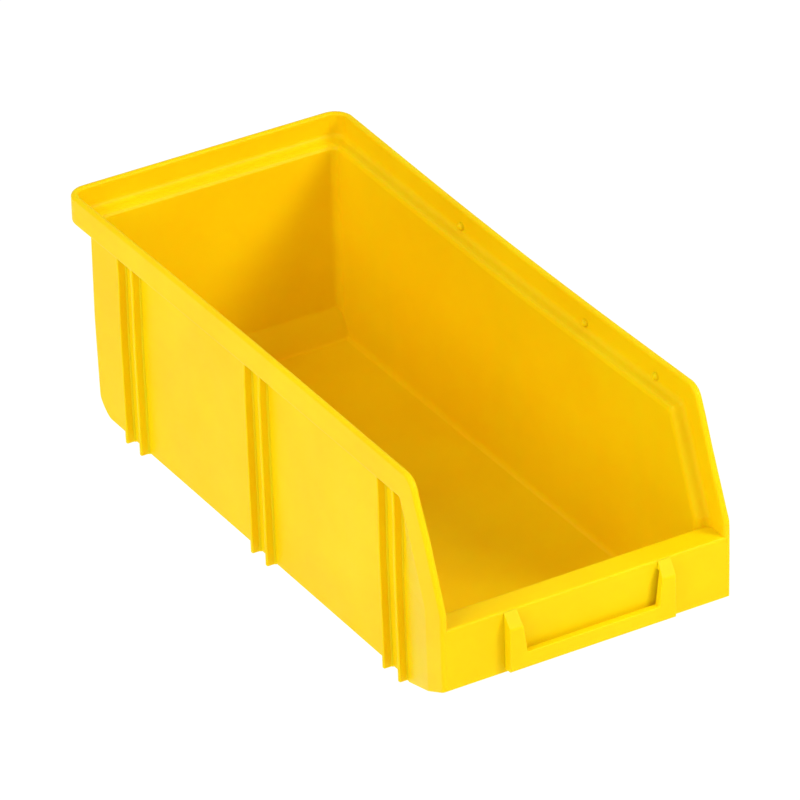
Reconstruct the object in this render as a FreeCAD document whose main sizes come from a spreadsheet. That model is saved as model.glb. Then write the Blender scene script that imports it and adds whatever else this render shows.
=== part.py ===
import FreeCAD, Part
import math
import os
import Sketcher

# Open-front stackable storage bin, moulded in one piece.
# Lengths in millimetres, +Z up.  The open front faces -Y and the width runs along X.
# Every region is drawn in a corner frame (x from the left side, y from the front of the
# label holder, z from the base) and placed so that the origin is the middle of the base.

doc = FreeCAD.newDocument("storage_bin")
sheet = doc.addObject("Spreadsheet::Sheet", "dims")

SIZES = [
    # overall envelope
    ("overall_width", 150.0),
    ("overall_length", 343.0),
    ("overall_height", 116.5),
    # plate thicknesses
    ("wall_thick", 2.5),
    ("rim_thick", 3.5),
    # stacking rim: band height, side and back steps, fall of the bevel under the band
    ("rim_band", 13.5),
    ("step_side", 7.8),
    ("step_back", 8.5),
    ("rim_corner", 10.0),
    # open mouth: how far the top edge stops short of the front, and where the slope ends
    # above the front lip
    ("mouth_setback", 24.0),
    ("mouth_foot", 7.5),
    # front panel
    ("front_base", 19.5),
    ("front_height", 31.0),
    ("web_run", 43.0),
    # rear end of the floor: outer radius, and the inner ramp up to the back wall; front end:
    # outer radius between the rising floor and the front wall
    ("heel_radius", 16.0),
    ("heel_ramp", 15.0),
    ("heel_run", 7.5),
    ("toe_radius", 12.0),
    # outer ribs, three evenly spaced pairs a side: pair centres from the back and the front
    ("rib_thick", 2.0),
    ("rib_proud", 4.2),
    ("rib_pitch", 13.6),
    ("rib_rearmost", 49.5),
    ("rib_foremost", 57.5),
    # label holder
    ("holder_width", 86.0),
    ("holder_height", 28.5),
    ("holder_proud", 5.0),
    ("holder_taper", 6.0),
    ("holder_base", 2.0),
    ("card_slot", 2.0),
    ("card_margin", 3.0),
    ("window_width", 68.0),
    ("window_flare", 3.0),
    ("window_sill", 8.0),
    # nubs inside the rim, placed from the back as shares of the length
    ("nub_radius", 1.5),
    ("nub_height", 1.0),
    ("nub_rise", 4.5),
    ("nub_share_a", 0.344),
    ("nub_share_b", 0.659),
    ("nub_share_c", 0.828),
]
for row, (alias, value) in enumerate(SIZES, start=1):
    sheet.set("A%d" % row, alias)
    sheet.set("B%d" % row, "%g" % value)
    sheet.setAlias("B%d" % row, alias)
doc.recompute()

NAMES = sorted((alias for alias, value in SIZES), key=len, reverse=True)


def bound(text):
    """Turn an expression written with bare size names into a spreadsheet expression."""
    out = ""
    word = ""
    for letter in text + " ":
        if letter.isalnum() or letter in "_.":
            word += letter
            continue
        out += "dims." + word if word in NAMES else word
        word = ""
        out += letter
    return out.strip()


def number(text):
    """Present value of an expression, as a plain number."""
    found = sheet.evalExpression(bound(text))
    return float(getattr(found, "Value", found))


# Levels and lines that several regions share, all written in the driving sizes.
SIDE_IN = "(step_side + wall_thick)"
SIDE_FAR = "(overall_width - step_side - wall_thick)"
BACK_OUT = "(overall_length - step_back)"
BACK_IN = "(overall_length - step_back - wall_thick)"
LEDGE_Z = "(overall_height - rim_band)"
PANEL_Z = "(overall_height - rim_band - step_side)"
BEND_Y = "(holder_proud + mouth_setback)"
LIP_Z = "(front_base + front_height)"
FOOT_Z = "(front_base + front_height + mouth_foot)"
MOUTH_DROP = "(overall_height - front_base - front_height - mouth_foot)"
LIP_IN = "(holder_proud + rim_band)"
FRONT_IN = "(holder_proud + rim_band - wall_thick)"
TOE_Y = "(holder_proud + web_run)"
TOP_MITRE = "tan(atan(" + MOUTH_DROP + " / mouth_setback) / 2)"
FOOT_MITRE = "tan(45 deg - atan(" + MOUTH_DROP + " / mouth_setback) / 2)"
WEB_RISE = "(front_base / web_run)"
KNEE_OUT = "((web_run - rim_band + wall_thick) * " + WEB_RISE + ")"
KNEE_IN = "((web_run - rim_band) * " + WEB_RISE + " + wall_thick)"
TOE_TOP = "(" + KNEE_OUT + " + toe_radius)"
PLANES = {"XY": "XY_Plane", "XZ": "XZ_Plane", "YZ": "YZ_Plane"}


REGIONS = []


def place(item):
    """Move a region from the corner frame so the base centre is the origin."""
    item.setExpression("Placement.Base.x", bound("-overall_width / 2"))
    item.setExpression("Placement.Base.y", bound("-overall_length / 2"))


def new_body(label, blank=False):
    """Start a sketched region, or a blank that only shapes other regions."""
    body = doc.addObject("PartDesign::Body", label)
    body.Label = label
    place(body)
    if not blank:
        REGIONS.append(body)
    return body


def split(label, kind, base, tool, blank=False):
    """Region left by cutting one solid with another, or common to the two."""
    item = doc.addObject("Part::" + kind, label)
    item.Label = label
    item.Base = base
    item.Tool = tool
    if not blank:
        REGIONS.append(item)
    return item


def outline(body, name, plane, shift, corners):
    """Closed sketch: corners are (across, up) or (across, up, radius, bulge) for an arc."""
    sketch = body.newObject("Sketcher::SketchObject", name)
    role = PLANES[plane]
    support = [axis for axis in body.Origin.OriginFeatures if axis.Role == role][0]
    sketch.AttachmentSupport = [(support, "")]
    sketch.MapMode = "FlatFace"
    sketch.setExpression("AttachmentOffset.Base.z", bound(shift))
    spots = [(number(corner[0]), number(corner[1])) for corner in corners]
    starts = []
    count = len(corners)
    for index, corner in enumerate(corners):
        ax, ay = spots[index]
        bx, by = spots[(index + 1) % count]
        a = FreeCAD.Vector(ax, ay, 0)
        b = FreeCAD.Vector(bx, by, 0)
        if len(corner) == 2:
            sketch.addGeometry(Part.LineSegment(a, b), False)
            starts.append((1, 2))
            continue
        radius = number(corner[2])
        side = corner[3]
        half = (b - a) * 0.5
        reach = math.sqrt(max(radius * radius - half.Length * half.Length, 0.0))
        away = FreeCAD.Vector(-half.y, half.x, 0)
        away.normalize()
        centre = a + half + away * (reach * side)
        through = centre - away * (radius * side)
        sketch.addGeometry(Part.Arc(a, through, b), False)
        starts.append((1, 2) if side > 0 else (2, 1))
    for index in range(count):
        after = (index + 1) % count
        sketch.addConstraint(Sketcher.Constraint(
            "Coincident", index, starts[index][1], after, starts[after][0]))
    for index, corner in enumerate(corners):
        for kind, text, spot in (("DistanceX", corner[0], spots[index][0]),
                                 ("DistanceY", corner[1], spots[index][1])):
            row = sketch.addConstraint(Sketcher.Constraint(
                kind, -1, 1, index, starts[index][0], spot))
            sketch.setExpression("Constraints[%d]" % row, bound(text))
        if len(corner) > 2:
            row = sketch.addConstraint(Sketcher.Constraint("Radius", index, number(corner[2])))
            sketch.setExpression("Constraints[%d]" % row, bound(corner[2]))
    return sketch


def pad(body, name, sketch, length, back=False):
    """Raise a sketch by a bound length, along the plane normal or against it."""
    feature = body.newObject("PartDesign::Pad", name)
    feature.Profile = sketch
    feature.Type = "Length"
    feature.setExpression("Length", bound(length))
    feature.Reversed = back
    body.Tip = feature
    doc.recompute()
    return feature


def pocket(body, name, sketch, length, back=False):
    """Cut a sketch by a bound length and check that material was really taken away."""
    before = body.Shape.Volume
    feature = body.newObject("PartDesign::Pocket", name)
    feature.Profile = sketch
    feature.Type = "Length"
    feature.setExpression("Length", bound(length))
    feature.Reversed = back
    body.Tip = feature
    doc.recompute()
    if before - body.Shape.Volume < 0.1:
        raise RuntimeError("cut %s missed its body" % name)
    return feature


def plate(label, corner, size):
    """Rectangular plate given by its near corner and its extent, both bound."""
    box = doc.addObject("Part::Box", label)
    box.Label = label
    for axis, start in zip("xyz", corner):
        lift = "" if axis == "z" else " - overall_%s / 2" % {"x": "width", "y": "length"}[axis]
        box.setExpression("Placement.Base." + axis, bound(start + lift))
    for side, extent in zip(("Length", "Width", "Height"), size):
        box.setExpression(side, bound(extent))
    REGIONS.append(box)
    return box


def top_edge(inset):
    """Corners of the side outline kept a fixed distance inside the top and front edges."""
    return [
        (BEND_Y + " + " + inset + " * " + TOP_MITRE, "overall_height - " + inset),
        ("holder_proud + " + inset, FOOT_Z + " - " + inset + " * " + FOOT_MITRE),
    ]


def web_level(inset):
    """Height of the rising lower edge of the side at a distance inside the front face."""
    return "(web_run - " + inset + ") * " + WEB_RISE


# ------------------------------------------------------------------ floor and its ends
INNER_WIDTH = "overall_width - 2 * (step_side + wall_thick)"
HEEL_Y = "(overall_length - step_back - heel_radius)"
plate("floor", (SIDE_IN, TOE_Y, "0"), (INNER_WIDTH, HEEL_Y + " - " + TOE_Y, "wall_thick"))

heel = new_body("rear_heel")
heel_sketch = outline(heel, "heel_profile", "YZ", SIDE_IN, [
    (HEEL_Y, "0", "heel_radius", 1),
    (BACK_OUT, "heel_radius"),
    (BACK_IN, "heel_radius"),
    (BACK_IN, "wall_thick + heel_ramp"),
    (BACK_IN + " - heel_run", "wall_thick"),
    (HEEL_Y, "wall_thick"),
])
pad(heel, "heel_pad", heel_sketch, INNER_WIDTH)

TURN_OUT = "toe_radius * tan(45 deg - atan(" + WEB_RISE + ") / 2)"
TURN_IN = "(toe_radius - wall_thick) * tan(45 deg - atan(" + WEB_RISE + ") / 2)"
ALONG = " * cos(atan(" + WEB_RISE + "))"
DOWN = " * sin(atan(" + WEB_RISE + "))"
toe = new_body("front_toe")
toe_sketch = outline(toe, "toe_profile", "YZ", SIDE_IN, [
    (FRONT_IN, TOE_TOP),
    (FRONT_IN, KNEE_OUT + " + " + TURN_OUT, "toe_radius", 1),
    (FRONT_IN + " + " + TURN_OUT + ALONG, KNEE_OUT + " - " + TURN_OUT + DOWN),
    (TOE_Y, "0"),
    (TOE_Y, "wall_thick"),
    (LIP_IN + " + " + TURN_IN + ALONG, KNEE_IN + " - " + TURN_IN + DOWN,
     "toe_radius - wall_thick", -1),
    (LIP_IN, KNEE_IN + " + " + TURN_IN),
    (LIP_IN, TOE_TOP),
])
pad(toe, "toe_pad", toe_sketch, INNER_WIDTH)

# ------------------------------------------------------------------ upright panels
plate("back_wall", (SIDE_IN, BACK_IN, "heel_radius"),
      (INNER_WIDTH, "wall_thick", PANEL_Z + " - heel_radius"))
BAND_WIDTH = "overall_width - 2 * rim_thick"
plate("front_inner_wall", ("rim_thick", FRONT_IN, TOE_TOP),
      (BAND_WIDTH, "wall_thick", LIP_Z + " - wall_thick - " + TOE_TOP))
plate("front_face", ("rim_thick", "holder_proud", "front_base"),
      (BAND_WIDTH, "wall_thick", "front_height - wall_thick"))
plate("front_lip", ("rim_thick", "holder_proud", LIP_Z + " - wall_thick"),
      (BAND_WIDTH, "rim_band", "wall_thick"))

PANEL_INSET = "(rim_band + step_side)"
SIDES = (("left", "step_side"), ("right", SIDE_FAR))
for side, panel_x in SIDES:
    panel = new_body(side + "_wall")
    panel_sketch = outline(panel, side + "_wall_profile", "YZ", panel_x, [
        (HEEL_Y, "0", "heel_radius", 1),
        (BACK_OUT, "heel_radius"),
        (BACK_OUT, PANEL_Z),
    ] + top_edge(PANEL_INSET) + [
        ("holder_proud + " + PANEL_INSET, web_level(PANEL_INSET)),
        ("holder_proud + web_run", "0"),
    ])
    pad(panel, side + "_wall_pad", panel_sketch, "wall_thick")

# ------------------------------------------------------------------ stacking rim
# everything above the ledge line, across the whole width, parts the band from its ledge
above = new_body("above_ledge", blank=True)
above_sketch = outline(above, "above_ledge_profile", "YZ", "-1", [
    ("overall_length + 1", LEDGE_Z),
    ("overall_length + 1", "overall_height + 1"),
    ("holder_proud - 1", "overall_height + 1"),
    ("holder_proud - 1", "front_base - 14"),
    (LIP_IN, "front_base - 14"),
] + list(reversed(top_edge("rim_band"))))
pad(above, "above_ledge_pad", above_sketch, "overall_width + 2")

rims = {}
for side, panel_x in SIDES:
    rim = new_body("rim_%s_blank" % side, blank=True)
    rims[side] = rim
    near_x = "0" if side == "left" else SIDE_FAR
    rim_sketch = outline(rim, "rim_%s_profile" % side, "YZ", near_x, [
        ("overall_length", PANEL_Z),
        ("overall_length", "overall_height"),
    ] + top_edge("0") + [
        ("holder_proud", "front_base"),
        ("holder_proud + " + PANEL_INSET, web_level(PANEL_INSET)),
    ] + list(reversed(top_edge(PANEL_INSET))))
    pad(rim, "rim_%s_pad" % side, rim_sketch, SIDE_IN)

    # inner recess that leaves the band standing and the stacking ledge below it
    recess_x = "rim_thick" if side == "left" else SIDE_FAR
    recess_sketch = outline(rim, "rim_%s_recess" % side, "YZ", recess_x, [
        ("overall_length + 1", LEDGE_Z),
        ("overall_length + 1", "overall_height + 1"),
        ("holder_proud - 1", "overall_height + 1"),
        ("holder_proud - 1", "front_base - 1"),
        (LIP_IN, "front_base - 14"),
    ] + list(reversed(top_edge("rim_band"))))
    pocket(rim, "rim_%s_recess_cut" % side, recess_sketch,
           "step_side + wall_thick - rim_thick", back=True)

    # bevel under the band, from its outer face in to the side panel
    outer_x = 0.0 if side == "left" else number("overall_width")
    line_y = number("holder_proud + " + PANEL_INSET)
    line_z = number(PANEL_Z)
    corner_y = number(top_edge(PANEL_INSET)[0][0])
    foot_y, foot_z = [number(text) for text in top_edge(PANEL_INSET)[1]]
    picked = []
    for index, edge in enumerate(rim.Shape.Edges, start=1):
        middle = edge.valueAt((edge.FirstParameter + edge.LastParameter) / 2)
        spot = rim.Placement.inverse().multVec(middle)
        along = abs(edge.Vertexes[0].Point.x - edge.Vertexes[-1].Point.x)
        if abs(spot.x - outer_x) > 0.01 or along > 0.01:
            continue
        on_top = abs(spot.z - line_z) < 0.01 and spot.y < number("overall_length") - 1
        on_front = abs(spot.y - line_y) < 0.01
        slant = (spot.y - foot_y) * (line_z - foot_z) - (spot.z - foot_z) * (corner_y - foot_y)
        if on_top or on_front or abs(slant) < 1:
            picked.append("Edge%d" % index)
    if len(picked) != 3:
        raise RuntimeError("rim_%s bevel found %d edges" % (side, len(picked)))
    squared = rim.Tip
    bevel = rim.newObject("PartDesign::Chamfer", "rim_%s_bevel" % side)
    bevel.Base = (squared, picked)
    bevel.ChamferType = "Equal distance"
    bevel.setExpression("Size", bound("step_side"))
    rim.Tip = bevel
    doc.recompute()

    # underside of the band where it turns the back corner
    turn_sketch = outline(rim, "rim_%s_turn" % side, "YZ", near_x, [
        ("overall_length + 1", PANEL_Z + " - 1"),
        ("overall_length + 1", LEDGE_Z),
        ("overall_length", LEDGE_Z),
        (BACK_OUT, PANEL_Z),
        (BACK_OUT, PANEL_Z + " - 1"),
    ])
    pocket(rim, "rim_%s_turn_cut" % side, turn_sketch, SIDE_IN, back=True)

    # rounded outer back corner
    edge_x = "0" if side == "left" else "overall_width"
    turn_x = "rim_corner" if side == "left" else "(overall_width - rim_corner)"
    far_x = "-1" if side == "left" else "(overall_width + 1)"
    corner_sketch = outline(rim, "rim_%s_corner" % side, "XY", "0", [
        (edge_x, "overall_length - rim_corner", "rim_corner", -1 if side == "left" else 1),
        (turn_x, "overall_length"),
        (turn_x, "overall_length + 1"),
        (far_x, "overall_length + 1"),
        (far_x, "overall_length - rim_corner"),
    ])
    pocket(rim, "rim_%s_corner_cut" % side, corner_sketch, "overall_height + 1", back=True)
    split("rim_" + side, "Common", rim, above)
    split("ledge_" + side, "Cut", rim, above)

rim_back = new_body("rim_back")
band_sketch = outline(rim_back, "rim_back_band", "YZ", "rim_thick", [
    ("overall_length", LEDGE_Z),
    ("overall_length", "overall_height"),
    ("overall_length - rim_thick", "overall_height"),
    ("overall_length - rim_thick", LEDGE_Z),
])
pad(rim_back, "rim_back_band_pad", band_sketch, BAND_WIDTH)
ledge_back = new_body("ledge_back")
shelf_sketch = outline(ledge_back, "ledge_back_profile", "YZ", SIDE_IN, [
    ("overall_length", LEDGE_Z),
    (BACK_IN, LEDGE_Z),
    (BACK_IN, PANEL_Z),
    (BACK_OUT, PANEL_Z),
])
pad(ledge_back, "ledge_back_pad", shelf_sketch, INNER_WIDTH)

# ------------------------------------------------------------------ outer ribs
PAIR_PITCH = "(overall_length - rib_rearmost - rib_foremost) / 2"
RIB_INSET = "(step_side - rib_proud)"
for side in ("left", "right"):
    outer = RIB_INSET if side == "left" else "(overall_width - " + RIB_INSET + ")"
    inner = "step_side" if side == "left" else "(overall_width - step_side)"
    for index in range(6):
        pair, place_in_pair = divmod(index, 2)
        station = "(rib_rearmost + %d * %s + %g * rib_pitch)" % (
            pair, PAIR_PITCH, place_in_pair - 0.5)
        label = "rib_%s_%d" % (side, index + 1)
        # the foremost rib is trimmed where it runs into the bend of the rim
        foremost = index == 5
        rib = new_body(label + "_blank" if foremost else label, blank=foremost)
        rib_sketch = outline(rib, label + "_profile", "XZ",
                             "-(overall_length - " + station + " - rib_thick / 2)", [
            (outer, "0"),
            (inner, "0"),
            (inner, PANEL_Z),
            (outer, LEDGE_Z + " - " + RIB_INSET),
        ])
        pad(rib, label + "_pad", rib_sketch, "rib_thick", back=True)
        if foremost:
            shorter = split(label + "_under_rim", "Cut", rib, rims[side], blank=True)
            split(label, "Cut", shorter, above)

# ------------------------------------------------------------------ label holder
HOLDER_X = "(overall_width - holder_width) / 2"
HOLDER_Z = "(front_base + holder_base)"
WINDOW_X = "(overall_width - window_width) / 2"
HOLDER_TOP = "(front_base + holder_base + holder_height)"
holder = new_body("label_holder")
holder_sketch = outline(holder, "holder_frame", "XZ", "-holder_proud", [
    (HOLDER_X, HOLDER_Z),
    ("overall_width - " + HOLDER_X, HOLDER_Z),
    ("overall_width - " + HOLDER_X, HOLDER_TOP),
    ("overall_width - " + WINDOW_X + " + window_flare", HOLDER_TOP),
    ("overall_width - " + WINDOW_X, HOLDER_Z + " + window_sill"),
    (WINDOW_X, HOLDER_Z + " + window_sill"),
    (WINDOW_X + " - window_flare", HOLDER_TOP),
    (HOLDER_X, HOLDER_TOP),
])
pad(holder, "holder_pad", holder_sketch, "holder_proud")
card_sketch = outline(holder, "holder_card_slot", "XY", HOLDER_TOP + " + 1", [
    (HOLDER_X + " + card_margin", "holder_proud - card_slot"),
    ("overall_width - " + HOLDER_X + " - card_margin", "holder_proud - card_slot"),
    ("overall_width - " + HOLDER_X + " - card_margin", "holder_proud + 1"),
    (HOLDER_X + " + card_margin", "holder_proud + 1"),
])
pocket(holder, "holder_card_slot_cut", card_sketch, "holder_height + 1 - card_margin")
taper_sketch = outline(holder, "holder_taper_profile", "YZ", HOLDER_X, [
    ("-1", HOLDER_TOP + " - holder_taper"),
    ("0", HOLDER_TOP + " - holder_taper"),
    ("holder_proud", HOLDER_TOP),
    ("holder_proud", HOLDER_TOP + " + 1"),
    ("-1", HOLDER_TOP + " + 1"),
])
pocket(holder, "holder_taper_cut", taper_sketch, "holder_width", back=True)

# ------------------------------------------------------------------ nubs inside the rim
for side in ("left", "right"):
    for index, share in enumerate(("nub_share_a", "nub_share_b", "nub_share_c"), start=1):
        nub = doc.addObject("Part::Cylinder", "nub_%s_%d" % (side, index))
        nub.Label = "nub_%s_%d" % (side, index)
        REGIONS.append(nub)
        nub.Placement = FreeCAD.Placement(
            FreeCAD.Vector(0, 0, 0), FreeCAD.Rotation(FreeCAD.Vector(0, 1, 0), 90))
        start = "rim_thick" if side == "left" else "overall_width - rim_thick - nub_height"
        nub.setExpression("Radius", bound("nub_radius"))
        nub.setExpression("Height", bound("nub_height"))
        nub.setExpression("Placement.Base.x", bound(start + " - overall_width / 2"))
        nub.setExpression("Placement.Base.y", bound("overall_length / 2 - overall_length * " + share))
        nub.setExpression("Placement.Base.z", bound(LEDGE_Z + " + nub_rise"))

doc.recompute()

# ------------------------------------------------------------------ checks and files
for item in doc.Objects:
    if "Invalid" in item.State or "Error" in item.State:
        raise RuntimeError("%s did not compute: %s" % (item.Label, item.State))

os.makedirs("parts", exist_ok=True)
for item in REGIONS:
    shape = item.Shape
    if shape.isNull() or not shape.isValid() or len(shape.Solids) != 1:
        raise RuntimeError("%s has no sound solid" % item.Label)
    shape.exportStep("parts/%s.step" % item.Label)
    print("%-18s volume %10.1f" % (item.Label, shape.Volume))
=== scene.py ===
"""Visual model of an open-fronted stackable storage bin, dressed round its fixed frame."""
import logging
import math
from dataclasses import dataclass
from enum import Enum
from typing import Callable, Iterable, Sequence

import bmesh
import bpy
from mathutils import Matrix, Vector


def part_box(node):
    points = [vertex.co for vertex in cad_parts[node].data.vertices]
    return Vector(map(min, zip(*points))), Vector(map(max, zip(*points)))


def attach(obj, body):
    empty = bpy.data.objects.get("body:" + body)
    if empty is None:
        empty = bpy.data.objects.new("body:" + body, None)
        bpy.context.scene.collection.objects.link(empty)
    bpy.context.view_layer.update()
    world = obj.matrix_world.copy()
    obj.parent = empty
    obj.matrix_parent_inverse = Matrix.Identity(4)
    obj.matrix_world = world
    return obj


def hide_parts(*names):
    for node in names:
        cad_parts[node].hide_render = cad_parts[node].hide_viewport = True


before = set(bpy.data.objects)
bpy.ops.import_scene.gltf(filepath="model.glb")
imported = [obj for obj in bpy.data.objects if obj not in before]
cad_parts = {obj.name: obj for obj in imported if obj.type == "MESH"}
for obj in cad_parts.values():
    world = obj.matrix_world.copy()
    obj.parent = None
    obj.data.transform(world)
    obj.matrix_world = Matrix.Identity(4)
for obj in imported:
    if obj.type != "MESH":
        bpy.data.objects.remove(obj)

LOG = logging.getLogger("storage_bin")
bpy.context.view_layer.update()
SNAP = 1e-5  # heights and places this near, in metres, count as the same

Colour = tuple[float, float, float]
Point = tuple[float, float]


class Side(Enum):
    """Which side wall a piece belongs to; the value is the sign of its X."""

    LEFT = -1.0
    RIGHT = 1.0

    @property
    def word(self) -> str:
        """Name used in the frame's node names."""
        return self.name.lower()

    @property
    def inward(self) -> float:
        """Sign of the X direction from this wall to the middle of the bin."""
        return -self.value


class Axis(Enum):
    """A direction of the frame; the value is its place in a coordinate."""

    X = 0
    Y = 1
    Z = 2

    @property
    def vector(self) -> Vector:
        """Unit vector along the axis."""
        return Vector([1.0 if index == self.value else 0.0 for index in range(3)])


class Join(Enum):
    """How two closed meshes are combined; the value is Blender's word for it."""

    UNION = "UNION"
    DIFFERENCE = "DIFFERENCE"
    INTERSECT = "INTERSECT"


# --------------------------------------------------------------------------- finishes
def noise(tree: bpy.types.NodeTree, place: bpy.types.NodeSocket, scale: float,
          detail: float) -> bpy.types.NodeSocket:
    """Add a noise texture.

    Args:
        tree: The material's node tree.
        place: Coordinates that it reads.
        scale: Its scale.
        detail: Its octaves.

    Returns:
        The texture's value.
    """
    texture = tree.nodes.new("ShaderNodeTexNoise")
    texture.inputs["Scale"].default_value = scale
    texture.inputs["Detail"].default_value = detail
    tree.links.new(place, texture.inputs["Vector"])
    return texture.outputs["Fac"]


def bump(tree: bpy.types.NodeTree, height: bpy.types.NodeSocket, strength: float,
         depth: float) -> bpy.types.Node:
    """Add a bump node.

    Args:
        tree: The material's node tree.
        height: The relief that it shows.
        strength: How much of it shows.
        depth: Depth of the relief, in metres.

    Returns:
        The node.
    """
    relief = tree.nodes.new("ShaderNodeBump")
    relief.inputs["Strength"].default_value = strength
    relief.inputs["Distance"].default_value = depth
    tree.links.new(height, relief.inputs["Height"])
    return relief


@dataclass(frozen=True)
class MouldedPlastic:
    """Satin, slightly translucent moulded polypropylene."""

    name: str = "bin_yellow_polypropylene"
    deep: Colour = (0.88, 0.595, 0.0015)
    light: Colour = (0.90, 0.650, 0.0025)
    tint_scale: float = 22.0
    tint_detail: float = 4.0
    tint_span: tuple[float, float] = (0.34, 0.68)
    ripple_scale: float = 38.0
    ripple_detail: float = 1.5
    ripple_strength: float = 0.5
    ripple_depth: float = 0.00035
    grain_scale: float = 1500.0
    grain_detail: float = 2.0
    grain_strength: float = 0.6
    grain_depth: float = 0.00002
    roughness: float = 0.40
    handled_scale: float = 55.0
    handled_detail: float = 6.0
    rubbed: float = 0.06
    scuffed: float = 0.09
    translucency: float = 0.5
    glow_reach: Colour = (1.0, 0.50, 0.05)
    glow_depth: float = 0.0035
    refraction: float = 1.49
    shine: float = 0.07

    def build(self) -> bpy.types.Material:
        """Make the node material.

        Returns:
            The finished material.
        """
        material = bpy.data.materials.new(self.name)
        material.use_nodes = True
        tree = material.node_tree
        shader = tree.nodes["Principled BSDF"]
        place = tree.nodes.new("ShaderNodeTexCoord").outputs["Object"]
        self.tint(tree, place, shader)
        self.relief(tree, place, shader)
        self.wear(tree, place, shader)
        shader.inputs["Subsurface Weight"].default_value = self.translucency
        shader.inputs["Subsurface Radius"].default_value = self.glow_reach
        shader.inputs["Subsurface Scale"].default_value = self.glow_depth
        shader.inputs["IOR"].default_value = self.refraction
        shader.inputs["Specular IOR Level"].default_value = self.shine
        return material

    def tint(self, tree: bpy.types.NodeTree, place: bpy.types.NodeSocket,
             shader: bpy.types.Node) -> None:
        """Vary the colour a little, as pigment does.

        Args:
            tree: The material's node tree.
            place: Coordinates of the surface.
            shader: The shader that takes the result.
        """
        ramp = tree.nodes.new("ShaderNodeValToRGB")
        for stop, position, colour in zip(ramp.color_ramp.elements, self.tint_span,
                                          (self.deep, self.light)):
            stop.position = position
            stop.color = (*colour, 1.0)
        tree.links.new(noise(tree, place, self.tint_scale, self.tint_detail),
                       ramp.inputs["Fac"])
        tree.links.new(ramp.outputs["Color"], shader.inputs["Base Color"])

    def relief(self, tree: bpy.types.NodeTree, place: bpy.types.NodeSocket,
               shader: bpy.types.Node) -> None:
        """Lay a fine grain over the soft ripple of the walls.

        Args:
            tree: The material's node tree.
            place: Coordinates of the surface.
            shader: The shader that takes the result.
        """
        ripple = bump(tree, noise(tree, place, self.ripple_scale, self.ripple_detail),
                      self.ripple_strength, self.ripple_depth)
        grain = bump(tree, noise(tree, place, self.grain_scale, self.grain_detail),
                     self.grain_strength, self.grain_depth)
        tree.links.new(ripple.outputs["Normal"], grain.inputs["Normal"])
        tree.links.new(grain.outputs["Normal"], shader.inputs["Normal"])

    def wear(self, tree: bpy.types.NodeTree, place: bpy.types.NodeSocket,
             shader: bpy.types.Node) -> None:
        """Make handled spots smoother and scuffed ones duller.

        Args:
            tree: The material's node tree.
            place: Coordinates of the surface.
            shader: The shader that takes the result.
        """
        gloss = tree.nodes.new("ShaderNodeMapRange")
        gloss.inputs["To Min"].default_value = self.roughness - self.rubbed
        gloss.inputs["To Max"].default_value = self.roughness + self.scuffed
        tree.links.new(noise(tree, place, self.handled_scale, self.handled_detail),
                       gloss.inputs["Value"])
        tree.links.new(gloss.outputs["Result"], shader.inputs["Roughness"])


@dataclass(frozen=True)
class StudioPaper:
    """White floor that glows of itself, so that only faint shadows fall on it."""

    name: str = "studio_white"
    colour: Colour = (0.06, 0.06, 0.06)
    roughness: float = 0.9
    light: Colour = (1.0, 1.0, 1.0)
    glow: float = 1.0

    def build(self) -> bpy.types.Material:
        """Make the node material.

        Returns:
            The finished material.
        """
        material = bpy.data.materials.new(self.name)
        material.use_nodes = True
        shader = material.node_tree.nodes["Principled BSDF"]
        shader.inputs["Base Color"].default_value = (*self.colour, 1.0)
        shader.inputs["Roughness"].default_value = self.roughness
        shader.inputs["Specular IOR Level"].default_value = 0.0
        shader.inputs["Emission Color"].default_value = (*self.light, 1.0)
        shader.inputs["Emission Strength"].default_value = self.glow
        return material


# --------------------------------------------------------------------------- mesh tools
def clamped(value: float) -> float:
    """Keep a share between 0 and 1."""
    return min(1.0, max(0.0, value))


def placed(tool: bmesh.types.BMesh, name: str) -> bpy.types.Object:
    """Put a bmesh into the scene.

    Args:
        tool: The bmesh; it is freed here.
        name: Name of the object and of its mesh.

    Returns:
        The new object.
    """
    mesh = bpy.data.meshes.new(name)
    tool.to_mesh(mesh)
    tool.free()
    item = bpy.data.objects.new(name, mesh)
    bpy.context.scene.collection.objects.link(item)
    return item


def discard(item: bpy.types.Object) -> None:
    """Remove an object and its mesh."""
    mesh = item.data
    bpy.data.objects.remove(item)
    bpy.data.meshes.remove(mesh)


def settled(item: bpy.types.Object) -> bmesh.types.BMesh:
    """Apply an object's modifiers.

    Args:
        item: The object; it is removed here.

    Returns:
        Its shape as a bmesh.
    """
    depsgraph = bpy.context.evaluated_depsgraph_get()
    result = bpy.data.meshes.new_from_object(item.evaluated_get(depsgraph))
    tool = bmesh.new()
    tool.from_mesh(result)
    bpy.data.meshes.remove(result)
    discard(item)
    return tool


def finish_piece(tool: bmesh.types.BMesh, name: str, material: bpy.types.Material,
                 nodes: Sequence[str], smooth_angle: float = 32.0) -> bpy.types.Object:
    """Turn a bmesh into a piece that rides on the frame and stands for its nodes.

    Args:
        tool: The finished bmesh; it is freed here.
        name: Name of the piece.
        material: Its finish.
        nodes: The frame nodes that it replaces.
        smooth_angle: Edges sharper than this, in degrees, stay crisp.

    Returns:
        The new object.
    """
    bmesh.ops.recalc_face_normals(tool, faces=tool.faces)
    piece = placed(tool, name)
    mesh = piece.data
    mesh.materials.append(material)
    mesh.shade_smooth()
    mesh.set_sharp_from_angle(angle=math.radians(smooth_angle))
    even = piece.modifiers.new("even_normals", "WEIGHTED_NORMAL")
    even.mode = "FACE_AREA"
    even.keep_sharp = True
    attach(piece, "root")
    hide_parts(*nodes)
    LOG.info("%s: %d faces", name, len(mesh.polygons))
    return piece


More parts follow.
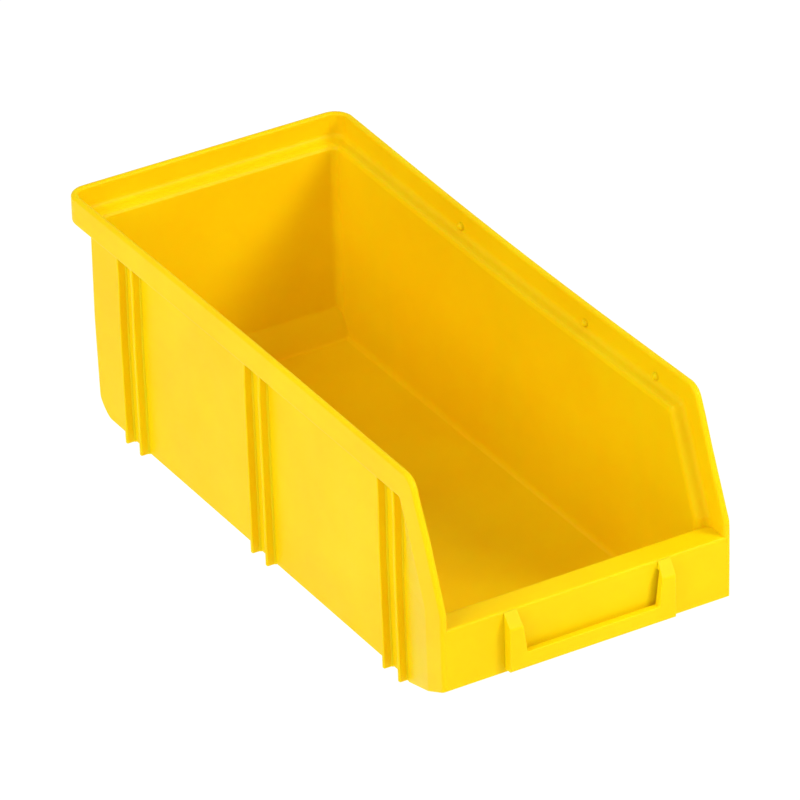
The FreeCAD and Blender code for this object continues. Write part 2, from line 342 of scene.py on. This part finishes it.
def weighted_bevel(tool: bmesh.types.BMesh, width: float,
                   radius_of: Callable[[bmesh.types.BMEdge], float],
                   segments: int = 3) -> bmesh.types.BMesh:
    """Round edges, each to its own radius.

    Args:
        tool: The bmesh to round; it is freed here.
        width: The largest radius, in metres.
        radius_of: Gives each edge's radius in metres; 0 leaves it sharp.
        segments: Facets across each rounding.

    Returns:
        A new bmesh with the rounded edges.
    """
    layer = tool.edges.layers.float.new("bevel_weight_edge")
    for edge in tool.edges:
        edge[layer] = clamped(radius_of(edge) / width)
    holder = placed(tool, "rounding")
    bevel = holder.modifiers.new("bevel", "BEVEL")
    bevel.width = width
    bevel.segments = segments
    bevel.limit_method = "WEIGHT"
    bevel.use_clamp_overlap = False
    bevel.miter_outer = "MITER_SHARP"
    bevel.profile = 0.5
    return settled(holder)


def slice_grid(tool: bmesh.types.BMesh, stations: Iterable[float], axis: Axis,
               snap: float = 1e-7) -> None:
    """Cut a bmesh by parallel planes so that it can bend smoothly.

    Args:
        tool: The bmesh to cut in place.
        stations: Distances along the axis, in metres.
        axis: Normal of the planes.
        snap: Vertices this near a plane count as on it.
    """
    for station in stations:
        geometry = list(tool.verts) + list(tool.edges) + list(tool.faces)
        bmesh.ops.bisect_plane(tool, geom=geometry, dist=snap, plane_co=axis.vector * station,
                               plane_no=axis.vector)


def even_steps(low: float, high: float, count: int) -> list[float]:
    """Places that part a span into equal steps, without its ends."""
    return [low + (high - low) * index / count for index in range(1, count)]


# --------------------------------------------------------------------------- shell
def corners_of(node: str) -> list[Vector]:
    """Vertices of a frame node, in metres."""
    return [vertex.co.copy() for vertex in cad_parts[node].data.vertices]


@dataclass(frozen=True)
class ShellLines:
    """Levels and lines of the shell, read from the frame.

    Attributes:
        half_width: X of the rim's outer face.
        back: Y of its outer face at the back.
        front: Y of the front face.
        top: Height of the rim.
        band: Height of the rim's upright outer face.
        rim_thick: Thickness of the rim.
        step_side: How far the side walls stand inside the rim.
        step_back: How far the back wall does.
        wall: Thickness of the walls.
        front_base: Height of the front panel's lower edge.
        lip: Height of its upper edge.
        lip_in: Y of its inner face.
        bend: Y where the rim starts to fall to the mouth.
        foot: Height where the mouth meets the front.
        floor_front: Y where the flat floor ends.
        heel: Height of the rounded rear edge of the floor.
        heel_ramp: Height of the ramp inside that edge.
        heel_run: Y where the ramp starts.
        toe_top: Height where the rising front of the floor meets the front panel.
    """

    half_width: float
    back: float
    front: float
    top: float
    band: float
    rim_thick: float
    step_side: float
    step_back: float
    wall: float
    front_base: float
    lip: float
    lip_in: float
    bend: float
    foot: float
    floor_front: float
    heel: float
    heel_ramp: float
    heel_run: float
    toe_top: float

    @property
    def panel(self) -> float:
        """Distance from the rim's edge to the top of the side panel."""
        return self.band + self.step_side

    @property
    def inner(self) -> float:
        """Distance from the rim's outer face to the inside of the side wall."""
        return self.step_side + self.wall

    def web(self, y: float) -> float:
        """Height of the rising underside at a given Y."""
        return self.front_base * (self.floor_front - y) / (self.floor_front - self.front)

    @classmethod
    def read(cls) -> "ShellLines":
        """Measure the frame.

        Returns:
            The lines, in metres.
        """
        rim_low, rim_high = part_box("rim_left")
        wall_low, wall_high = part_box("left_wall")
        back_low, back_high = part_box("back_wall")
        lip_low, lip_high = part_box("front_lip")
        top = rim_high[2]
        rim = corners_of("rim_left")
        bend = min(spot.y for spot in rim if spot.z > top - SNAP)
        foot = max(spot.z for spot in rim if spot.y < rim_low[1] + SNAP)
        heel = corners_of("rear_heel")
        thick = wall_high[0] - wall_low[0]
        run = max(spot.y for spot in heel if abs(spot.z - thick) < SNAP)
        return cls(
            half_width=-rim_low[0], back=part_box("rim_back")[1][1], front=rim_low[1], top=top,
            band=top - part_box("ledge_back")[1][2], rim_thick=rim_high[0] - rim_low[0],
            step_side=wall_low[0] - rim_low[0], step_back=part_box("rim_back")[1][1] - back_high[1],
            wall=thick, front_base=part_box("front_face")[0][2], lip=lip_high[2],
            lip_in=lip_high[1], bend=bend, foot=foot, floor_front=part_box("floor")[0][1],
            heel=back_low[2], heel_ramp=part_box("rear_heel")[1][2], heel_run=run,
            toe_top=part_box("front_toe")[1][2])


def round_corner(before: Point, corner: Point, after: Point, radius: float,
                 steps: int = 6) -> list[Point]:
    """Replace a corner of a polyline by an arc.

    Args:
        before: The point before the corner.
        corner: The sharp corner.
        after: The point after it.
        radius: Arc radius.
        steps: Facets of the arc.

    Returns:
        The points of the arc, steps + 1 of them.
    """
    here = Vector(corner)
    first = (Vector(before) - here).normalized()
    last = (Vector(after) - here).normalized()
    half = first.angle(last) * 0.5
    reach = radius / math.tan(half)
    centre = here + (first + last).normalized() * (radius / math.sin(half))
    start = here + first * reach - centre
    end = here + last * reach - centre
    sweep = start.angle_signed(end)
    points = []
    for index in range(steps + 1):
        turn = -sweep * index / steps
        points.append((centre.x + start.x * math.cos(turn) - start.y * math.sin(turn),
                       centre.y + start.x * math.sin(turn) + start.y * math.cos(turn)))
    return points


def rounded(points: Sequence[tuple[float, ...]], steps: int = 6) -> list[Point]:
    """Round the corners of a closed outline.

    Args:
        points: Corners as (across, up) or (across, up, radius).
        steps: Facets of each arc.

    Returns:
        The outline with its arcs.
    """
    out: list[Point] = []
    count = len(points)
    for index, corner in enumerate(points):
        if len(corner) == 2 or corner[2] <= 0.0:
            out.append((corner[0], corner[1]))
            continue
        out.extend(round_corner(points[index - 1][:2], corner[:2],
                                points[(index + 1) % count][:2], corner[2], steps))
    return out


def prism(outline: Sequence[Point], axis: Axis, low: float, high: float) -> bmesh.types.BMesh:
    """Closed straight prism over an outline.

    Args:
        outline: (Y, Z) points for axis X, (X, Z) for Y or (X, Y) for Z.
        axis: Direction of the prism.
        low: Where it starts.
        high: Where it ends.

    Returns:
        The prism.
    """
    tool = bmesh.new()
    base = []
    for spot in outline:
        place = list(spot)
        place.insert(axis.value, low)
        base.append(tool.verts.new(place))
    face = tool.faces.new(base)
    made = bmesh.ops.extrude_face_region(tool, geom=[face])
    raised = [item for item in made["geom"] if isinstance(item, bmesh.types.BMVert)]
    bmesh.ops.translate(tool, verts=raised, vec=axis.vector * (high - low))
    bmesh.ops.recalc_face_normals(tool, faces=tool.faces)
    return tool


def combine(first: bmesh.types.BMesh, second: bmesh.types.BMesh, join: Join,
            merge: float = 1e-6, flat_degrees: float = 0.4) -> bmesh.types.BMesh:
    """Boolean of two closed meshes.

    Args:
        first: Freed here.
        second: Freed here.
        join: How they are combined.
        merge: Vertices this near each other become one.
        flat_degrees: Faces that meet at less than this become one.

    Returns:
        The combined mesh.
    """
    base, other = placed(first, "operand"), placed(second, "operand")
    boolean = base.modifiers.new("boolean", "BOOLEAN")
    boolean.operation = join.value
    boolean.solver = "EXACT"
    boolean.object = other
    out = settled(base)
    discard(other)
    bmesh.ops.remove_doubles(out, verts=out.verts, dist=merge)
    bmesh.ops.dissolve_degenerate(out, dist=merge, edges=out.edges)
    bmesh.ops.dissolve_limit(out, angle_limit=math.radians(flat_degrees), verts=out.verts,
                             edges=out.edges, use_dissolve_boundaries=False)
    return out


@dataclass
class Warp:
    """Draft of the walls and the slight inward bow that the long sides take in cooling."""

    lines: ShellLines
    left_bow: float = 0.0010
    right_bow: float = 0.0026
    bow_power: float = 1.15
    lift_power: float = 1.3
    lean: float = 0.0007
    side_start: float = 0.060
    side_blend: float = 0.004
    rear_start: float = 0.150
    rear_blend: float = 0.008

    def bend(self, spot: Vector) -> Vector:
        """Drafted and bowed place of a point.

        Args:
            spot: The point in the frame, in metres.

        Returns:
            Where the point goes.
        """
        lines = self.lines
        along = clamped((spot.y - lines.front) / (lines.back - lines.front))
        lift = clamped(spot.z / lines.top) ** self.lift_power
        reach = clamped((abs(spot.x) - self.side_start) / self.side_blend)
        bow = self.left_bow if spot.x < 0.0 else self.right_bow
        shift = bow * math.sin(math.pi * along) ** self.bow_power * lift * reach
        under = lines.top - lines.band - lines.step_side
        draft = self.lean * (1.0 - 2.0 * clamped(spot.z / under))
        if spot.z > under:
            draft *= max(0.0, 1.0 - (spot.z - under) / lines.step_side)
        side = shift + draft * reach
        rear = draft * clamped((spot.y - self.rear_start) / self.rear_blend)
        return Vector((spot.x - math.copysign(side, spot.x), spot.y - rear, spot.z))

    def apply(self, tool: bmesh.types.BMesh) -> None:
        """Move every vertex of a bmesh in place."""
        for vertex in tool.verts:
            vertex.co = self.bend(vertex.co)


@dataclass
class MouldedShell:
    """Floor, walls, front panel and stacking rim as the one moulding that they are."""

    finish: bpy.types.Material
    lines: ShellLines
    warp: Warp
    nodes: tuple[str, ...] = ("floor", "rear_heel", "front_toe", "back_wall",
                              "front_inner_wall", "front_face", "front_lip", "left_wall",
                              "right_wall", "rim_left", "rim_right", "rim_back",
                              "ledge_left", "ledge_right", "ledge_back")
    stub: float = 0.0030
    lap: float = 0.0008
    top_round: float = 0.0014
    lip_round: float = 0.0012
    ledge_rise: float = 0.0010
    ledge_round: float = 0.0036
    ledge_root: float = 0.0030
    seam_round: float = 0.0018
    front_flare: float = 0.0240
    bend_round: float = 0.0085
    foot_round: float = 0.0060
    rim_corner: float = 0.0100
    wall_corner: float = 0.0022
    inner_corner: float = 0.0040
    floor_fillet: float = 0.0030
    floor_edge: float = 0.0010
    fold_round: float = 0.0010
    toe_start_round: float = 0.0060
    heel_start_round: float = 0.0020
    heel_end_round: float = 0.0030
    least_foot: float = 0.0030
    least_bend: float = 0.0025
    rail_tail: float = 0.0220
    rail_end: float = 0.0300
    head_lap: float = 0.0020
    join_lap: float = 0.0010
    spare: float = 0.0100
    half_reach: float = 0.1000
    turn_steps: int = 8
    slices_along: int = 30
    slices_up: int = 9
    crisp_angle: float = 25.0

    def outer_profile(self) -> list[Point]:
        """Outside of wall, bevel and rim band, as (lateral, inset) points."""
        line = self.lines
        return rounded([
            (line.step_side, line.panel + self.stub),
            (line.step_side, line.panel, self.seam_round),
            (0.0, line.band, self.seam_round),
            (0.0, 0.0, self.top_round),
            (line.rim_thick * 0.5, 0.0),
        ], steps=4)[:-1]

    def inner_profile(self) -> list[Point]:
        """Inside of rim band, ledge and wall, as (lateral, inset) points."""
        line = self.lines
        return rounded([
            (line.rim_thick * 0.5, 0.0),
            (line.rim_thick, 0.0, self.top_round),
            (line.rim_thick, line.band - self.ledge_rise, self.ledge_root),
            (line.inner, line.band - self.ledge_rise, self.ledge_round),
            (line.inner, line.panel + self.stub),
        ], steps=4)[1:]

    def edge_line(self, inset: float, flare: float = 0.0) -> list[Point]:
        """Side outline from the front foot to the back, a fixed distance inside its edges.

        Args:
            inset: Distance inside the outline.
            flare: How much farther back its foot stands.

        Returns:
            (Y, Z) points, always as many.
        """
        line = self.lines
        slope = math.atan2(line.top - line.foot, line.bend - line.front)
        bend = (line.bend + inset * math.tan(slope / 2), line.top - inset)
        foot = (line.front + inset + flare,
                line.foot - inset * math.tan(math.pi / 4 - slope / 2))
        low = (line.front + inset + flare, line.front_base - self.rail_tail)
        back = (line.back - self.rail_end, line.top - inset)
        foot_radius = max(self.foot_round - inset, self.least_foot)
        bend_radius = max(self.bend_round - inset, self.least_bend)
        return ([low] + round_corner(low, foot, bend, foot_radius)
                + round_corner(foot, bend, back, bend_radius, self.turn_steps) + [back])

    def rail(self, lateral: float, inset: float, depth: float, radius: float,
             flare: float = 0.0) -> list[Vector]:
        """Path of one profile point from the front left round the back to the front right.

        Args:
            lateral: Distance inside the rim's outer face along the sides.
            inset: Distance inside its top edge.
            depth: Distance inside its outer face along the back.
            radius: Radius of the back corner in plan.
            flare: How much farther back its front foot stands.

        Returns:
            The stations of the path.
        """
        line = self.lines
        out = line.half_width - lateral
        left = [Vector((-out, y, z)) for y, z in self.edge_line(inset, flare)]
        centre = Vector((-out + radius, line.back - depth - radius, line.top - inset))
        for index in range(self.turn_steps + 1):
            turn = math.pi / 2 * index / self.turn_steps
            left.append(centre + Vector((-math.cos(turn), math.sin(turn), 0.0)) * radius)
        right = [Vector((-spot.x, spot.y, spot.z)) for spot in reversed(left)]
        return left + right

    def rim(self) -> bmesh.types.BMesh:
        """Sweep the profile round the bin.

        Returns:
            Rim, ledge and the top of the wall as one closed solid.
        """
        line = self.lines
        paths = []
        for lateral, inset in self.outer_profile():
            share = lateral / line.step_side
            radius = self.rim_corner + (self.wall_corner - self.rim_corner) * share
            flare = share * self.front_flare if inset > line.band * 0.5 else 0.0
            paths.append(self.rail(lateral, inset, share * line.step_back, radius, flare))
        for lateral, inset in self.inner_profile():
            over = max(0.0, lateral - line.rim_thick) / (line.inner - line.rim_thick)
            depth = lateral + over * (line.step_back - line.step_side)
            start = self.rim_corner - min(lateral, line.rim_thick)
            radius = start + (self.inner_corner - start) * over
            paths.append(self.rail(lateral, inset, depth, radius))
        tool = bmesh.new()
        rails = [[tool.verts.new(spot) for spot in path] for path in paths]
        for index, rail in enumerate(rails):
            after = rails[(index + 1) % len(rails)]
            for step in range(len(rail) - 1):
                tool.faces.new((rail[step], rail[step + 1], after[step + 1], after[step]))
        tool.faces.new([rail[0] for rail in rails])
        tool.faces.new([rail[-1] for rail in reversed(rails)])
        bmesh.ops.recalc_face_normals(tool, faces=tool.faces)
        return tool

    def tray(self, side: float, rear: float, corner: float, low_round: float,
             low: float, outline: Sequence[Point]) -> bmesh.types.BMesh:
        """Block with rounded back corners and lower edges, cut to a side outline.

        Args:
            side: Half width.
            rear: Y of its back face.
            corner: Radius of its back corners in plan.
            low_round: Radius of its lower side edges.
            low: Height of its underside.
            outline: (Y, Z) outline.

        Returns:
            The block.
        """
        line = self.lines
        front = line.front - self.spare
        above = line.top + 2.0 * self.spare
        plan = rounded([(side, front), (side, rear, corner), (-side, rear, corner),
                        (-side, front)], self.turn_steps)
        across = rounded([(side, low, low_round), (side, above),
                          (-side, above), (-side, low, low_round)])
        section = prism(across, Axis.Y, front, rear + self.spare)
        block = combine(prism(plan, Axis.Z, low - self.spare, above + self.spare), section,
                        Join.INTERSECT)
        return combine(block, self.across(outline), Join.INTERSECT)

    def across(self, outline: Sequence[Point]) -> bmesh.types.BMesh:
        """Prism over a side outline, wider than the bin."""
        return prism(outline, Axis.X, -self.half_reach, self.half_reach)

    def body(self) -> bmesh.types.BMesh:
        """Walls, floor and heel below the rim.

        Returns:
            The open tray as one closed solid.
        """
        line = self.lines
        edge = self.edge_line(line.panel + self.lap)[1:-1]
        head = line.front + line.panel + self.lap
        out_back = line.back - line.step_back
        in_back = out_back - line.wall
        outside = rounded([(line.floor_front, 0.0), (out_back, 0.0, line.heel),
                           (out_back, line.top - line.panel - self.lap)], steps=12)
        outside += list(reversed(edge)) + [(head, line.web(head))]
        mouth = head - self.head_lap
        inside = rounded([(line.floor_front, line.wall, self.toe_start_round),
                          (line.heel_run, line.wall, self.heel_start_round),
                          (in_back, line.heel_ramp, self.heel_end_round),
                          (in_back, line.top + self.spare), (mouth, line.top + self.spare),
                          (mouth, line.web(mouth) + line.wall)], steps=5)
        solid = self.tray(line.half_width - line.step_side, out_back, self.wall_corner,
                          self.floor_edge, 0.0, outside)
        hollow = self.tray(line.half_width - line.inner, in_back, self.inner_corner,
                           self.floor_fillet, line.wall, inside)
        return combine(solid, hollow, Join.DIFFERENCE)

    def toe(self) -> bmesh.types.BMesh:
        """Rising front of the floor, up to the front inner wall."""
        line = self.lines
        out = line.lip_in - line.wall
        knee = line.web(line.lip_in) + line.wall
        radius = line.toe_top - line.web(out)
        head = line.toe_top + self.join_lap
        outline = rounded([(out, head), (out, line.web(out), radius),
                           (line.floor_front, 0.0), (line.floor_front, line.wall),
                           (line.lip_in, knee, radius - line.wall), (line.lip_in, head)],
                          self.turn_steps)
        reach = line.half_width - line.inner + self.join_lap
        return prism(outline, Axis.X, -reach, reach)

    def front(self) -> bmesh.types.BMesh:
        """Front face, lip and inner wall."""
        line = self.lines
        out = line.lip_in - line.wall
        outline = rounded([(line.front, line.front_base), (line.front, line.lip, self.lip_round),
                           (line.lip_in, line.lip, self.lip_round), (line.lip_in, line.toe_top),
                           (out, line.toe_top), (out, line.lip - line.wall, self.fold_round),
                           (line.front + line.wall, line.lip - line.wall, self.fold_round),
                           (line.front + line.wall, line.front_base)], steps=5)
        reach = line.half_width - line.rim_thick + self.join_lap
        return prism(outline, Axis.X, -reach, reach)

    def build(self) -> bpy.types.Object:
        """Join, slice, draft and bow the shell.

        Returns:
            The finished piece.
        """
        line = self.lines
        tool = combine(self.rim(), self.body(), Join.UNION)
        tool = combine(tool, combine(self.toe(), self.front(), Join.UNION), Join.UNION)
        before, behind = line.front - self.spare, line.back + self.spare
        above = line.top + self.spare
        keep = self.across([(before, line.web(before)), (line.floor_front, 0.0), (behind, 0.0),
                            (behind, above), (before, above)])
        tool = combine(tool, keep, Join.INTERSECT)
        slice_grid(tool, even_steps(line.front, line.back, self.slices_along), Axis.Y)
        slice_grid(tool, even_steps(0.0, line.top, self.slices_up), Axis.Z)
        slice_grid(tool, (-self.warp.side_start, self.warp.side_start), Axis.X)
        self.warp.apply(tool)
        return finish_piece(tool, "moulded_shell", self.finish, self.nodes, self.crisp_angle)


@dataclass
class Ribs:
    """Pairs of stiffening ribs on the outside of the side walls."""

    finish: bpy.types.Material
    warp: Warp
    per_side: int = 6
    root_flare: float = 0.0006
    tip_round: float = 0.0005
    sunk_depth: float = 0.0004
    slices_up: int = 10

    def build(self) -> list[bpy.types.Object]:
        """Make every rib.

        Returns:
            The finished pieces.
        """
        made = []
        for side in Side:
            for number in range(1, self.per_side + 1):
                made.append(self.one(side, "rib_%s_%d" % (side.word, number)))
        return made

    def one(self, side: Side, node: str) -> bpy.types.Object:
        """Make one rib.

        Args:
            side: The side wall that it stands on.
            node: The frame node that it replaces.

        Returns:
            The finished piece.
        """
        low, high = (Vector(corner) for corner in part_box(node))
        tip, root = (low.x, high.x) if side is Side.LEFT else (high.x, low.x)
        flare = self.root_flare
        sunk = root + self.sunk_depth * side.inward
        neck = root - flare * side.inward
        outline = rounded([(tip, low.y, self.tip_round), (neck, low.y, flare),
                           (root, low.y - flare), (sunk, low.y - flare),
                           (sunk, high.y + flare), (root, high.y + flare),
                           (neck, high.y, flare), (tip, high.y, self.tip_round)], steps=4)
        tool = prism(outline, Axis.Z, low.z, high.z)
        slice_grid(tool, even_steps(0.0, high.z, self.slices_up), Axis.Z)
        self.warp.apply(tool)
        return finish_piece(tool, node, self.finish, [node])


@dataclass
class LabelHolder:
    """Frame on the front panel that takes a paper label."""

    finish: bpy.types.Material
    window_half: float = 0.0340
    window_flare: float = 0.0026
    sill: float = 0.0080
    taper: float = 0.0070
    slot: float = 0.0018
    slot_margin: float = 0.0030
    slot_drop: float = 0.0020
    slot_top: float = 0.0038
    slot_slack: float = 0.0001
    sunk_depth: float = 0.0003
    feather: float = 0.0002
    corner_round: float = 0.0010
    shoulder_round: float = 0.0030
    edge_round: float = 0.0006
    crisp_radians: float = 0.6

    def build(self) -> bpy.types.Object:
        """Make the holder.

        Returns:
            The finished piece.
        """
        low, high = (Vector(corner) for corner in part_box("label_holder"))
        back = high.y + self.sunk_depth
        shelf = low.z + self.sill
        half, turn = self.window_half, self.corner_round
        tip = self.window_half + self.window_flare
        frame_line = rounded([
            (low.x, low.z), (high.x, low.z), (high.x, high.z), (tip, high.z),
            (half, shelf, turn), (-half, shelf, turn), (-tip, high.z), (low.x, high.z)], steps=4)
        side_line = rounded([
            (back, low.z), (low.y, low.z), (low.y, high.z - self.taper, self.shoulder_round),
            (high.y - self.feather, high.z), (back, high.z)])
        reach = tip + self.slot_margin
        bottom, top = shelf - self.slot_drop, high.z - self.slot_top
        pocket = [(-reach, bottom), (reach, bottom), (reach, top), (-reach, top)]
        tool = combine(prism(frame_line, Axis.Y, low.y, back),
                       prism(side_line, Axis.X, 2.0 * low.x, 2.0 * high.x), Join.INTERSECT)
        tool = combine(tool, prism(pocket, Axis.Y, high.y - self.slot, back + self.slot),
                       Join.DIFFERENCE)

        def radius(edge: bmesh.types.BMEdge) -> float:
            """Round every sharp edge that isn't against the front panel."""
            if len(edge.link_faces) != 2 or edge.calc_face_angle(0.0) < self.crisp_radians:
                return 0.0
            nearest = min(high.y - vertex.co.y for vertex in edge.verts)
            return 0.0 if nearest < self.slot + self.slot_slack else self.edge_round

        tool = weighted_bevel(tool, self.edge_round, radius)
        return finish_piece(tool, "label_holder", self.finish, ["label_holder"])


@dataclass
class Nubs:
    """Small location nubs on the inner face of the rim."""

    finish: bpy.types.Material
    warp: Warp
    per_side: int = 3
    spread: float = 1.3
    rise: float = 2.0
    segments: int = 24
    rings: int = 16
    smooth_angle: float = 60.0

    def build(self) -> list[bpy.types.Object]:
        """Make every nub.

        Returns:
            The finished pieces.
        """
        made = []
        for side in Side:
            for number in range(1, self.per_side + 1):
                made.append(self.one(side, "nub_%s_%d" % (side.word, number)))
        return made

    def one(self, side: Side, node: str) -> bpy.types.Object:
        """Make one nub as a low dome, half of it sunk in the rim.

        Args:
            side: The side that it is on.
            node: The frame node that it replaces.

        Returns:
            The finished piece.
        """
        low, high = (Vector(corner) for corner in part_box(node))
        middle = (low + high) * 0.5
        foot = low.x if side is Side.LEFT else high.x
        radius = (high.z - low.z) * 0.5 * self.spread
        tall = (high.x - low.x) * self.rise
        tool = bmesh.new()
        bmesh.ops.create_uvsphere(tool, u_segments=self.segments, v_segments=self.rings,
                                  radius=1.0)
        bmesh.ops.rotate(tool, verts=tool.verts, cent=(0.0, 0.0, 0.0),
                         matrix=Matrix.Rotation(math.radians(90.0), 3, "Y"))
        bmesh.ops.scale(tool, verts=tool.verts, vec=(tall, radius, radius))
        bmesh.ops.translate(tool, verts=tool.verts, vec=(foot, middle.y, middle.z))
        self.warp.apply(tool)
        return finish_piece(tool, node, self.finish, [node], self.smooth_angle)


# --------------------------------------------------------------------------- studio
@dataclass(frozen=True)
class SoftLight:
    """A soft square light that faces the bin."""

    name: str
    spot: tuple[float, float, float]
    size: float
    power: float

    def hang(self, aim: Vector) -> None:
        """Hang the light so that it faces a point.

        Args:
            aim: The point, in metres.
        """
        data = bpy.data.lights.new(self.name, "AREA")
        data.shape = "SQUARE"
        data.size = self.size
        data.energy = self.power
        lamp = bpy.data.objects.new(self.name, data)
        lamp.location = self.spot
        lamp.rotation_euler = (aim - Vector(self.spot)).to_track_quat("-Z", "Y").to_euler()
        bpy.context.scene.collection.objects.link(lamp)


@dataclass
class Studio:
    """Floor, lights and camera."""

    paper: bpy.types.Material
    azimuth: float = -29.79
    elevation: float = 30.05
    roll: float = -1.75
    distance: float = 3.4856
    focal_ratio: float = 9.5755
    target: tuple[float, float, float] = (0.0043, 0.0015, 0.0610)
    sensor: float = 36.0
    clip_end: float = 50.0
    half_floor: float = 9.0
    gap: float = 0.0003
    horizon: float = 0.47
    zenith: float = 0.52
    zenith_from: float = 0.9
    lit_height: float = 0.06
    lights: tuple[SoftLight, ...] = (
        SoftLight("key", (1.31, -1.87, 1.70), 0.9, 42.0),
        SoftLight("fill", (-1.95, -0.6, 1.65), 1.5, 33.0))

    def build(self) -> None:
        """Make the floor, the lights, the world and the camera."""
        self.make_floor()
        self.make_world()
        for light in self.lights:
            light.hang(Vector((0.0, 0.0, self.lit_height)))
        self.make_camera()

    def make_floor(self) -> None:
        """Lay a wide floor under the bin."""
        tool = bmesh.new()
        bmesh.ops.create_grid(tool, x_segments=1, y_segments=1, size=self.half_floor)
        bmesh.ops.translate(tool, verts=tool.verts, vec=(0.0, 0.0, -self.gap))
        floor = placed(tool, "studio_floor")
        floor.data.materials.append(self.paper)

    def make_world(self) -> None:
        """Surround the set with white light, a little brighter overhead than at the horizon."""
        world = bpy.data.worlds.new("studio_world")
        bpy.context.scene.world = world
        world.use_nodes = True
        nodes, links = world.node_tree.nodes, world.node_tree.links
        place = nodes.new("ShaderNodeTexCoord")
        split = nodes.new("ShaderNodeSeparateXYZ")
        links.new(place.outputs["Generated"], split.inputs["Vector"])
        fade = nodes.new("ShaderNodeMapRange")
        fade.inputs["From Min"].default_value = 0.0
        fade.inputs["From Max"].default_value = self.zenith_from
        fade.inputs["To Min"].default_value = self.horizon
        fade.inputs["To Max"].default_value = self.zenith
        links.new(split.outputs["Z"], fade.inputs["Value"])
        links.new(fade.outputs["Result"], nodes["Background"].inputs["Strength"])
        nodes["Background"].inputs["Color"].default_value = (1.0, 1.0, 1.0, 1.0)

    def make_camera(self) -> None:
        """Set the long-lens camera at the viewing angle."""
        azimuth, elevation = math.radians(self.azimuth), math.radians(self.elevation)
        back = Vector((math.sin(azimuth) * math.cos(elevation),
                       -math.cos(azimuth) * math.cos(elevation), math.sin(elevation)))
        right = Vector((0.0, 0.0, 1.0)).cross(back).normalized()
        up = back.cross(right)
        turn = math.radians(self.roll)
        right, up = (right * math.cos(turn) + up * math.sin(turn),
                     up * math.cos(turn) - right * math.sin(turn))
        data = bpy.data.cameras.new("camera")
        data.sensor_fit = "HORIZONTAL"
        data.sensor_width = self.sensor
        data.lens = self.sensor * self.focal_ratio
        data.clip_end = self.clip_end
        camera = bpy.data.objects.new("camera", data)
        basis = Matrix((right, up, back)).transposed().to_4x4()
        basis.translation = Vector(self.target) + back * self.distance
        camera.matrix_world = basis
        bpy.context.scene.collection.objects.link(camera)
        bpy.context.scene.camera = camera


def main() -> None:
    """Build the bin and its studio."""
    logging.basicConfig(level=logging.INFO, format="%(name)s %(message)s")
    bpy.context.scene.view_settings.view_transform = "Standard"
    plastic = MouldedPlastic().build()
    lines = ShellLines.read()
    warp = Warp(lines)
    MouldedShell(plastic, lines, warp).build()
    Ribs(plastic, warp).build()
    LabelHolder(plastic).build()
    Nubs(plastic, warp).build()
    Studio(StudioPaper().build()).build()


if __name__ == "__main__":
    main()
